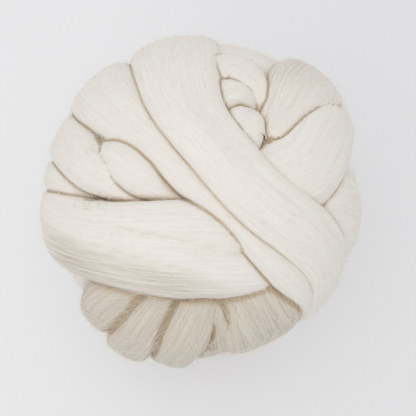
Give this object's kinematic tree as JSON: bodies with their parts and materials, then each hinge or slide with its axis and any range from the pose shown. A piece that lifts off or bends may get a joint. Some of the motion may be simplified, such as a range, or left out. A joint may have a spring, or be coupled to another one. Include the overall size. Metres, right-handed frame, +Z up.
{
  "type": "ball of wool roving",
  "caption": "Ball of undyed wool roving: one thick, soft, untwisted rope of combed fibre wound over itself in broad crossing passes, on a small flat spot.",
  "frame": {"origin": "on the surface that the ball rests on, under the middle of its bounding box", "axes": "+Z up, +Y away from the front along the ball's longest way, +X to the right"},
  "size_m": [0.1468, 0.1613, 0.1248],
  "materials": {
    "wool": "undyed combed wool, matt and soft, with fine fibres along the rope and stray hairs"
  },
  "bodies": {
    "root": {"roving_ball": "wool"}
  },
  "joints": []
}
